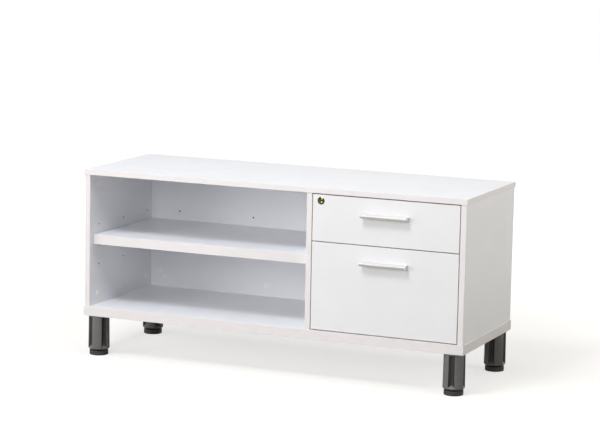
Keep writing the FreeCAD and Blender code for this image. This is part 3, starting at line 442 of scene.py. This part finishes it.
def turnedTree():
    # a profile, given as a chain of points (radius, 0, height), turned about Z, with flutes cut into it
    tree, given = newTree("turnedAndFluted", {
        "Steps Round": ("Int", 96), "Flutes": ("Int", 1), "Flute Radius": ("Float", 0.0),
        "Flute Centre": ("Float", 1.0), "Corner Round": ("Float", 0.001), "Rim Top": ("Float", 0.0),
        "Rim Radius": ("Float", 1.0), "Ledge Inner": ("Float", 0.0), "Ledge Rise": ("Float", 1.0),
        "Place": ("Vector", (0, 0, 0)), "Turn": ("Vector", (0, 0, 0)), "Material": ("Material", None)})
    # a flat grid with a column of points for each step round and a row for each point of the profile
    counted = addNode(tree, "GeometryNodeAttributeDomainSize", sockets=[given["Geometry"]])
    rows = counted.outputs["Point Count"]
    across = addNode(tree, maths, "ADD", [given["Steps Round"], 1.0])
    grid = addNode(tree, "GeometryNodeMeshGrid", sockets={
        "Size X": 1.0, "Size Y": 1.0, "Vertices X": across, "Vertices Y": rows})
    position = addNode(tree, "GeometryNodeInputPosition")
    spot = addNode(tree, "ShaderNodeSeparateXYZ", sockets=[position]).outputs
    around = addNode(tree, maths, "ADD", [spot["X"], 0.5])
    angle = addNode(tree, maths, "MULTIPLY", [around, 2 * math.pi])
    raised = addNode(tree, maths, "ADD", [spot["Y"], 0.5])
    lastRow = addNode(tree, maths, "SUBTRACT", [rows, 1.0])
    row = addNode(tree, maths, "ROUND", [addNode(tree, maths, "MULTIPLY", [raised, lastRow])])
    profile = addNode(tree, "GeometryNodeSampleIndex", {"data_type": "FLOAT_VECTOR", "domain": "POINT"},
                      {0: given["Geometry"], "Value": position, "Index": row})
    profile = addNode(tree, "ShaderNodeSeparateXYZ", sockets=[profile]).outputs
    radius, height = profile["X"], profile["Z"]
    # where a ray at this angle meets the flute's circle
    half = addNode(tree, maths, "DIVIDE", [math.pi, given["Flutes"]])
    near = addNode(tree, maths, "WRAP", [angle, half, addNode(tree, maths, "MULTIPLY", [half, -1.0])])
    side = addNode(tree, maths, "MULTIPLY", [given["Flute Centre"], addNode(tree, maths, "SINE", [near])])
    ahead = addNode(tree, maths, "MULTIPLY", [given["Flute Centre"], addNode(tree, maths, "COSINE", [near])])
    sideSquare = addNode(tree, maths, "POWER", [side, 2.0])
    fluteSquare = addNode(tree, maths, "POWER", [given["Flute Radius"], 2.0])
    inside = addNode(tree, maths, "SUBTRACT", [fluteSquare, sideSquare])
    reach = addNode(tree, maths, "SQRT", [addNode(tree, maths, "MAXIMUM", [inside, 0.0])])
    meets = addNode(tree, maths, "SUBTRACT", [ahead, reach])
    limit = addNode(tree, maths, "ADD", [meets, addNode(tree, maths, "LESS_THAN", [inside, 0.0])])
    fluted = addNode(tree, maths, "SMOOTH_MIN", [radius, limit, given["Corner Round"]])
    # the slope at each flute's foot
    bite = addNode(tree, maths, "SUBTRACT", [given["Rim Radius"], given["Ledge Inner"]])
    slope = addNode(tree, maths, "DIVIDE", [bite, given["Ledge Rise"]])
    above = addNode(tree, maths, "SUBTRACT", [height, given["Rim Top"]])
    inward = addNode(tree, maths, "MULTIPLY", [slope, above])
    ledge = addNode(tree, maths, "SUBTRACT", [given["Rim Radius"], inward])
    footed = addNode(tree, maths, "SMOOTH_MAX", [fluted, ledge, given["Corner Round"]])
    final = addNode(tree, maths, "MINIMUM", [radius, footed])
    spun = addNode(tree, "ShaderNodeCombineXYZ", sockets={
        "X": addNode(tree, maths, "MULTIPLY", [final, addNode(tree, maths, "COSINE", [angle])]),
        "Y": addNode(tree, maths, "MULTIPLY", [final, addNode(tree, maths, "SINE", [angle])]), "Z": height})
    # how deep a point lies in a flute, kept for the material to paint shade into the flutes; the ledge is
    # left out, as light as the lands
    sunk = addNode(tree, maths, "SUBTRACT", [radius, final])
    depth = addNode(tree, "ShaderNodeMapRange", sockets={"Value": sunk, "From Max": 3 * mm, "To Max": 1.0})
    over = addNode(tree, maths, "SUBTRACT", [fluted, ledge])
    clear = addNode(tree, "ShaderNodeMapRange", sockets={"Value": over, "From Max": 1.5 * mm, "To Max": 1.0})
    marked = addNode(tree, "GeometryNodeStoreNamedAttribute", {"data_type": "FLOAT", "domain": "POINT"}, {
        "Geometry": grid, "Name": "depth", "Value": addNode(tree, maths, "MULTIPLY", [depth, clear])})
    wall = addNode(tree, "GeometryNodeSetPosition", sockets={"Geometry": marked, "Position": spun})
    closed = addNode(tree, "GeometryNodeMergeByDistance", sockets={"Geometry": wall, "Distance": weld})
    placed = addNode(tree, "GeometryNodeTransform", sockets={
        "Geometry": closed, "Translation": given["Place"], "Rotation": given["Turn"]})
    endTree(tree, given, placed)
    return tree


arcLook = {"steps": 4, "most": 0.45}   # steps in an eased corner, and the share of an edge that it may take


def chain(corners):
    # a closed chain of profile points (radius, height, easing); an easing turns its corner into a short arc
    points = []
    for i, (radius, height, easing) in enumerate(corners):
        here = Vector((radius, height))
        before = Vector(corners[i - 1][:2]) - here
        after = Vector(corners[(i + 1) % len(corners)][:2]) - here
        if easing <= 0:
            points.append(here)
            continue
        size = min(easing, before.length * arcLook["most"], after.length * arcLook["most"])
        first, last = here + before.normalized() * size, here + after.normalized() * size
        for step in range(arcLook["steps"] + 1):
            t = step / arcLook["steps"]
            points.append(first * (1 - t) ** 2 + here * 2 * t * (1 - t) + last * t ** 2)
    points.append(points[0])
    mesh = bpy.data.meshes.new("profile")
    edges = [(i, i + 1) for i in range(len(points) - 1)]
    mesh.from_pydata([(p.x * mm, 0, p.y * mm) for p in points], edges, [])
    return mesh


turned = turnedTree()

# millimetres, heights above the floor; the turns are degrees about each leg's own middle
legLook = {
    "columnBottom": 17.7, "rimTop": 21.5, "shoulder": 116.0, "floorTop": 33.7,
    "topRadius": 30.8, "bottomRadius": 31.8, "rimChamfer": 3.0, "bore": 21.0, "spindleBore": 8.08,
    "flutes": 4, "fluteRadius": 10.7, "fluteCentre": 35.0, "cornerRound": 1.1, "ledgeInner": 24.0,
    "ledgeRise": 7.0, "steps": 288,
    "turns": {"front_left": -30, "front_right": 5, "rear_left": -34, "rear_right": -3},
}
footLook = {"radius": 28.1, "height": 13.5, "round": 3.0, "spindle": 8.0, "top": 39.5, "groove": 0.5,
            "grooveHeights": (5.0, 5.5, 6.3, 6.8), "steps": 128}


def columnProfile():
    # an open tube with a floor that the spindle runs through
    look = legLook
    span = look["shoulder"] - look["rimTop"]
    corners = [(look["spindleBore"], look["columnBottom"], 0.3),
               (look["bottomRadius"] - look["rimChamfer"], look["columnBottom"], 0.8),
               (look["bottomRadius"], look["columnBottom"] + look["rimChamfer"], 1.2)]
    # rows along the outer wall, close together where the flutes end
    rises = [i * look["ledgeRise"] / 12 for i in range(14)] + [span * part for part in (0.25, 0.5, 0.75)]
    for rise in rises:
        radius = look["bottomRadius"] + (look["topRadius"] - look["bottomRadius"]) * rise / span
        corners.append((radius, look["rimTop"] + rise, 0))
    corners += [(look["topRadius"], look["shoulder"], 0.5), (look["bore"], look["shoulder"], 0.4),
                (look["bore"], look["floorTop"], 0.5), (look["spindleBore"], look["floorTop"], 0.3)]
    return chain(corners)


def footProfile():
    # a rounded puck with a fine groove, and its spindle
    look = footLook
    outer, inner = look["radius"], look["radius"] - look["groove"]
    grooveStart, wallLow, wallHigh, grooveEnd = look["grooveHeights"]
    return chain([(0, 0, 0), (outer, 0, look["round"]), (outer, grooveStart, 0.3), (inner, wallLow, 0.2),
                  (inner, wallHigh, 0.2), (outer, grooveEnd, 0.3), (outer, look["height"], 0.8),
                  (look["spindle"], look["height"], 0.5), (look["spindle"], look["top"], 0.8),
                  (0, look["top"], 0)])


for corner, turn in legLook["turns"].items():
    low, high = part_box("leg_column_" + corner)
    place = ((low.x + high.x) / 2, (low.y + high.y) / 2, 0)
    growPiece("fluted_column_" + corner, turned, columnProfile(), {
        "Steps Round": legLook["steps"], "Flutes": legLook["flutes"],
        "Flute Radius": legLook["fluteRadius"] * mm,
        "Flute Centre": legLook["fluteCentre"] * mm, "Corner Round": legLook["cornerRound"] * mm,
        "Rim Top": legLook["rimTop"] * mm, "Rim Radius": legLook["bottomRadius"] * mm,
        "Ledge Inner": legLook["ledgeInner"] * mm, "Ledge Rise": legLook["ledgeRise"] * mm,
        "Place": place, "Turn": (0, 0, math.radians(turn)), "Material": legPlastic},
        "carcass", ["leg_column_" + corner])
    growPiece("screw_foot_" + corner, turned, footProfile(), {
        "Steps Round": footLook["steps"], "Place": place, "Material": footPlastic},
        "foot_" + corner, ["leg_foot_" + corner])
print("legs ready")

# radii and depths behind the lock's face, in millimetres
lockLook = {"face": 11.0, "crest": 8.4, "brim": 8.8, "fall": 1.5, "sunk": 1.5, "step": 0.9, "thickness": 2.0,
            "body": 9.0, "depth": 22.0, "bore": 6.08, "steps": 96}


def makeLockHousing():
    look = lockLook
    # a shallow funnel inside, a step up to a narrow brim, and a sloped outer band
    ring = [(look["bore"], look["sunk"], 0.15), (look["crest"] - 0.3, look["step"], 0.2),
            (look["crest"], 0.0, 0.2), (look["brim"], 0.0, 0.2), (look["face"], look["fall"], 0.25),
            (look["face"], look["thickness"], 0.1), (look["body"], look["thickness"], 0.2),
            (look["body"], look["depth"], 0.4), (look["bore"], look["depth"], 0.4)]
    growPiece("lock_ring", turned, chain(ring), {
        "Steps Round": look["steps"], "Place": (lockMiddle.x, lockLow.y, lockMiddle.z),
        "Turn": (math.radians(-90), 0, 0), "Material": lockBrassPaintedGlints},
        "upper_drawer", ["lock_housing"])


makeLockHousing()


def fastenerTree():
    # a headed fastener at every point, its head facing along the point's own aim
    tree, given = newTree("headedFasteners", {
        "Head Radius": ("Float", 0.004), "Head Height": ("Float", 0.002), "Head Round": ("Float", 0.001),
        "Shank Radius": ("Float", 0.002), "Shank Length": ("Float", 0.01), "Recess Length": ("Float", 0.0),
        "Recess Width": ("Float", 0.001), "Recess Depth": ("Float", 0.001), "Sides": ("Int", 24),
        "Material": ("Material", None)})
    # a cylinder whose upper rows are drawn in to a dome
    rows = 5
    blank = addNode(tree, "GeometryNodeMeshCylinder", sockets={
        "Vertices": given["Sides"], "Side Segments": rows, "Radius": 1.0, "Depth": 1.0})
    position = addNode(tree, "GeometryNodeInputPosition")
    spot = addNode(tree, "ShaderNodeSeparateXYZ", sockets=[position]).outputs
    level = addNode(tree, maths, "ADD", [spot["Z"], 0.5])
    lift = addNode(tree, maths, "MAXIMUM", [addNode(tree, maths, "SUBTRACT", [level, 1 / rows]), 0.0])
    angle = addNode(tree, maths, "MULTIPLY", [lift, math.pi / 2 / (1 - 1 / rows)])
    above = addNode(tree, maths, "GREATER_THAN", [level, 0.5 / rows])
    short = addNode(tree, maths, "SUBTRACT", [1.0, addNode(tree, maths, "SINE", [angle])])
    fall = addNode(tree, maths, "MULTIPLY", [given["Head Round"], short])
    crown = addNode(tree, maths, "SUBTRACT", [given["Head Height"], fall])
    drawn = addNode(tree, maths, "SUBTRACT", [1.0, addNode(tree, maths, "COSINE", [angle])])
    inset = addNode(tree, maths, "MULTIPLY", [given["Head Round"], drawn])
    width = addNode(tree, maths, "SUBTRACT", [given["Head Radius"], inset])
    shaped = addNode(tree, "ShaderNodeCombineXYZ", sockets={
        "X": addNode(tree, maths, "MULTIPLY", [spot["X"], width]),
        "Y": addNode(tree, maths, "MULTIPLY", [spot["Y"], width]),
        "Z": addNode(tree, maths, "MULTIPLY", [crown, above])})
    head = addNode(tree, "GeometryNodeSetPosition", sockets={"Geometry": blank, "Position": shaped})
    # a cross sunk into the head, where it has one
    cut = addNode(tree, "GeometryNodeMeshBoolean", {"operation": "DIFFERENCE", "solver": "EXACT"},
                  {"Mesh 1": head})
    barHeight = addNode(tree, maths, "MULTIPLY", [given["Recess Depth"], 2.0])
    size = addNode(tree, "ShaderNodeCombineXYZ", sockets=[
        given["Recess Length"], given["Recess Width"], barHeight])
    bar = addNode(tree, "GeometryNodeMeshCube", sockets={"Size": size})
    rise = addNode(tree, "ShaderNodeCombineXYZ", sockets={"Z": given["Head Height"]})
    for turn in (0.0, math.pi / 2):
        laid = addNode(tree, "GeometryNodeTransform", sockets={
            "Geometry": bar, "Translation": rise, "Rotation": (0, 0, turn)})
        tree.links.new(laid.outputs[0], cut.inputs["Mesh 2"])
    hasCross = addNode(tree, maths, "GREATER_THAN", [given["Recess Length"], 0.0])
    crossed = addNode(tree, "GeometryNodeSwitch", {"input_type": "GEOMETRY"}, {
        "Switch": hasCross, "False": head, "True": cut})
    rod = addNode(tree, "GeometryNodeMeshCylinder", sockets={
        "Vertices": given["Sides"], "Radius": given["Shank Radius"], "Depth": given["Shank Length"]})
    drop = addNode(tree, "ShaderNodeCombineXYZ", sockets={
        "Z": addNode(tree, maths, "MULTIPLY", [given["Shank Length"], -0.5])})
    shank = addNode(tree, "GeometryNodeTransform", sockets={"Geometry": rod, "Translation": drop})
    whole = addNode(tree, "GeometryNodeJoinGeometry", sockets=[crossed])
    tree.links.new(shank.outputs[0], whole.inputs[0])
    aim = addNode(tree, "GeometryNodeInputNamedAttribute", {"data_type": "FLOAT_VECTOR"}, {"Name": "aim"})
    turn = addNode(tree, "FunctionNodeAlignRotationToVector", {"axis": "Z"}, {"Vector": aim})
    placed = addNode(tree, "GeometryNodeInstanceOnPoints", sockets={
        "Points": given["Geometry"], "Instance": whole, "Rotation": turn})
    endTree(tree, given, placed)
    return tree


def looseBoxes(nodeName):
    # the box of each separate solid in a node, listed by its low corner to a hundredth of a millimetre,
    # because a set hands out its points in another order each run
    bm = bmesh.new()
    bm.from_mesh(frame["nodes"][nodeName].data)
    bmesh.ops.remove_doubles(bm, verts=bm.verts, dist=weld)
    waiting = set(bm.verts)
    boxes = []
    while waiting:
        heap = [waiting.pop()]
        low, high = heap[0].co.copy(), heap[0].co.copy()
        while heap:
            vertex = heap.pop()
            low = Vector(map(min, low, vertex.co))
            high = Vector(map(max, high, vertex.co))
            for edge in vertex.link_edges:
                other = edge.other_vert(vertex)
                if other in waiting:
                    waiting.remove(other)
                    heap.append(other)
        boxes.append((low, high))
    bm.free()
    return sorted(boxes, key=lambda box: [round(value, 5) for value in box[0]])


def makeFasteners(nodeName, aimAt, look, material):
    # a fastener where each solid of the node is; its head ends where the solid ends. The look is in
    # millimetres, and aimAt gives a head's direction from its solid's middle and size
    spots, aims = [], []
    for low, high in looseBoxes(nodeName):
        middle = (low + high) / 2
        aim = Vector(aimAt(middle, high - low))
        reach = abs((high - low).dot(aim)) / 2
        spots.append(middle + aim * (reach - look["headHeight"] * mm))
        aims.append(aim)
    start = bpy.data.meshes.new(nodeName + "_spots")
    start.from_pydata(spots, [], [])
    field = start.attributes.new("aim", "FLOAT_VECTOR", "POINT")
    for i, aim in enumerate(aims):
        field.data[i].vector = aim
    values = {"Head Radius": look["headRadius"] * mm, "Head Height": look["headHeight"] * mm,
              "Head Round": look["headRound"] * mm, "Shank Radius": look["shankRadius"] * mm,
              "Shank Length": look["shankLength"] * mm, "Recess Length": look.get("recess", 0) * mm,
              "Recess Width": look.get("slot", 1) * mm, "Recess Depth": look.get("deep", 1) * mm,
              "Sides": look["sides"], "Material": material}
    growPiece(nodeName + "_finished", fasteners, start, values, bodyOf(nodeName), [nodeName])


fasteners = fastenerTree()
bayMiddle = (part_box("left_side_panel")[1].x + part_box("divider_panel")[0].x) / 2
drawerMiddle = (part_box("divider_panel")[1].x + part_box("right_side_panel")[0].x) / 2


def inward(middle, split):
    # boards to the left of the split show their fasteners to the right, all others to the left
    return (1, 0, 0) if middle.x < split else (-1, 0, 0)


# a cap is flat and a pin is long along its own axis, and those in the back panel look forward
makeFasteners("cam_caps", lambda middle, size: (0, -1, 0) if size.y < size.x else inward(middle, bayMiddle),
              {"headRadius": 8.5, "headHeight": 1.0, "headRound": 0.6, "shankRadius": 2.0,
               "shankLength": 0.4, "sides": 40}, whiteCap)
makeFasteners("shelf_pins", lambda middle, size: (0, -1, 0) if size.y > size.x else inward(middle, bayMiddle),
              {"headRadius": 4.5, "headHeight": 8.0, "headRound": 0.8, "shankRadius": 2.45,
               "shankLength": 10.0, "sides": 28}, nickelPin)
makeFasteners("leg_screws", lambda middle, size: (0, 0, -1),
              {"headRadius": 3.8, "headHeight": 2.0, "headRound": 1.2, "shankRadius": 2.0,
               "shankLength": 20.0, "recess": 4.4, "slot": 0.9, "deep": 1.3, "sides": 20},
              zincScrew)
makeFasteners("runner_screws", lambda middle, size: inward(middle, drawerMiddle),
              {"headRadius": 3.4, "headHeight": 0.6, "headRound": 0.4, "shankRadius": 1.8,
               "shankLength": 11.0, "recess": 4.0, "slot": 0.8, "deep": 0.4, "sides": 20},
              zincScrew)
for storey in ("upper", "lower"):
    makeFasteners(storey + "_handle_screws", lambda middle, size: (0, 1, 0),
                  {"headRadius": 4.0, "headHeight": 2.0, "headRound": 1.3, "shankRadius": 2.0,
                   "shankLength": 28.0, "recess": 4.6, "slot": 1.0, "deep": 1.3, "sides": 24},
                  zincScrew)
print("fasteners ready")

# nodes that stay as they are: hidden inside the joints
for nodeName, material in (("cam_locks", castZinc), ("cam_bolts", zincScrew), ("dowels", beech)):
    mesh = frame["nodes"][nodeName].data
    mesh.materials.clear()
    mesh.materials.append(material)


studio = {
    "floorSize": 40.0, "floorColour": "#AEAAA4", "floorGlow": 0.65, "glowSpan": (0.7, 2.2),
    "roomColour": "#E2E6FF", "roomStrength": 0.03, "aim": (0, 0, 0.3),
    # azimuth from the front towards the right and elevation in degrees, distance and width in metres, watts
    "lamps": {
        "keyLight": (-10, 55, 3.8, 1.1, 70, "#F6F9FF"),
        "leftFrontLight": (-42, 14, 7.0, 4.0, 174, "#FCFCFA"),
        "frontLight": (2, 16, 4.5, 2.2, 51, "#FDFBFF"),
        "topLight": (0, 80, 3.8, 2.4, 34, "#FFFAF2"),
        "leftFill": (-85, 12, 4.5, 2.2, 34, "#FDFEFF"),
        "rightFill": (85, 25, 4.5, 2.2, 51, "#FFFCF3"),
        "backFill": (150, 14, 4.5, 2.2, 52, "#FFFCF5"),
    },
}


def rayKinds(tree):
    # what the camera sees directly, and what it sees in a reflection or through glass
    rays = addNode(tree, "ShaderNodeLightPath").outputs
    mirrored = addNode(tree, maths, "MAXIMUM", [rays["Is Glossy Ray"], rays["Is Transmission Ray"]])
    return rays["Is Camera Ray"], mirrored


def makeStudio():
    bm = bmesh.new()
    bmesh.ops.create_grid(bm, x_segments=1, y_segments=1, size=studio["floorSize"])
    mesh = bpy.data.meshes.new("studio_floor")
    bm.to_mesh(mesh)
    bm.free()
    floor = bpy.data.objects.new("studio_floor", mesh)
    bpy.context.scene.collection.objects.link(floor)
    material = bpy.data.materials.new("paleFloorPaper")
    material.use_nodes = True
    tree = material.node_tree
    tree.nodes.clear()
    paper = addNode(tree, "ShaderNodeBsdfDiffuse", sockets={"Color": linearColour(studio["floorColour"])})
    place = addNode(tree, "ShaderNodeTexCoord").outputs["Object"]
    away = addNode(tree, "ShaderNodeVectorMath", "LENGTH", [place]).outputs["Value"]
    far = addNode(tree, "ShaderNodeMapRange", {"interpolation_type": "SMOOTHSTEP"}, {
        "Value": away, "From Min": studio["glowSpan"][0], "From Max": studio["glowSpan"][1],
        "To Min": 0.0, "To Max": 1.0})
    direct, mirrored = rayKinds(tree)
    # near the object the floor only gets a lift; far away it is as white as the backdrop
    lift = addNode(tree, maths, "MULTIPLY_ADD", [far, 1.0 - studio["floorGlow"], studio["floorGlow"]])
    distant = addNode(tree, maths, "MULTIPLY", [mirrored, far])
    glow = addNode(tree, maths, "MULTIPLY_ADD", [direct, lift, distant])
    shine = addNode(tree, "ShaderNodeEmission", sockets={"Color": (1, 1, 1, 1), "Strength": glow})
    both = addNode(tree, "ShaderNodeAddShader", sockets=[paper, shine])
    addNode(tree, "ShaderNodeOutputMaterial", sockets={"Surface": both})
    mesh.materials.append(material)

    world = bpy.data.worlds.new("softRoom")
    bpy.context.scene.world = world
    world.use_nodes = True
    tree = world.node_tree
    tree.nodes.clear()
    room = addNode(tree, "ShaderNodeBackground", sockets={
        "Color": linearColour(studio["roomColour"]), "Strength": studio["roomStrength"]})
    white = addNode(tree, "ShaderNodeBackground", sockets={"Color": (1, 1, 1, 1), "Strength": 1.0})
    seen = addNode(tree, maths, "MAXIMUM", rayKinds(tree))
    mixed = addNode(tree, "ShaderNodeMixShader", sockets=[seen, room, white])
    addNode(tree, "ShaderNodeOutputWorld", sockets={"Surface": mixed})

    aim = Vector(studio["aim"])
    for name, (azimuth, elevation, distance, width, power, colour) in studio["lamps"].items():
        around, up = math.radians(azimuth), math.radians(elevation)
        lamp = bpy.data.lights.new(name, "AREA")
        lamp.shape = "DISK"
        lamp.size = width
        lamp.energy = power
        lamp.color = linearColour(colour)[:3]
        light = bpy.data.objects.new(name, lamp)
        light.location = aim + distance * Vector((math.sin(around) * math.cos(up),
                                                  -math.cos(around) * math.cos(up), math.sin(up)))
        light.rotation_euler = (aim - light.location).to_track_quat("-Z", "Y").to_euler()
        light.visible_camera = False
        bpy.context.scene.collection.objects.link(light)


# metres, degrees, and millimetres for the lens on its sensor
cameraPlace = {"location": (2.7116, -6.2767, 1.498), "angles": (81.059, -1.121, 23.452), "lens": 141.11,
               "sensor": 36, "farthest": 100}


def makeCamera():
    lens = bpy.data.cameras.new("camera")
    lens.lens = cameraPlace["lens"]
    lens.sensor_width = cameraPlace["sensor"]
    lens.clip_end = cameraPlace["farthest"]
    camera = bpy.data.objects.new("camera", lens)
    camera.location = cameraPlace["location"]
    camera.rotation_euler = Euler([math.radians(a) for a in cameraPlace["angles"]], "XYZ")
    bpy.context.scene.collection.objects.link(camera)
    bpy.context.scene.camera = camera


makeStudio()
makeCamera()
bpy.context.scene.view_settings.view_transform = "Standard"
print("studio ready")
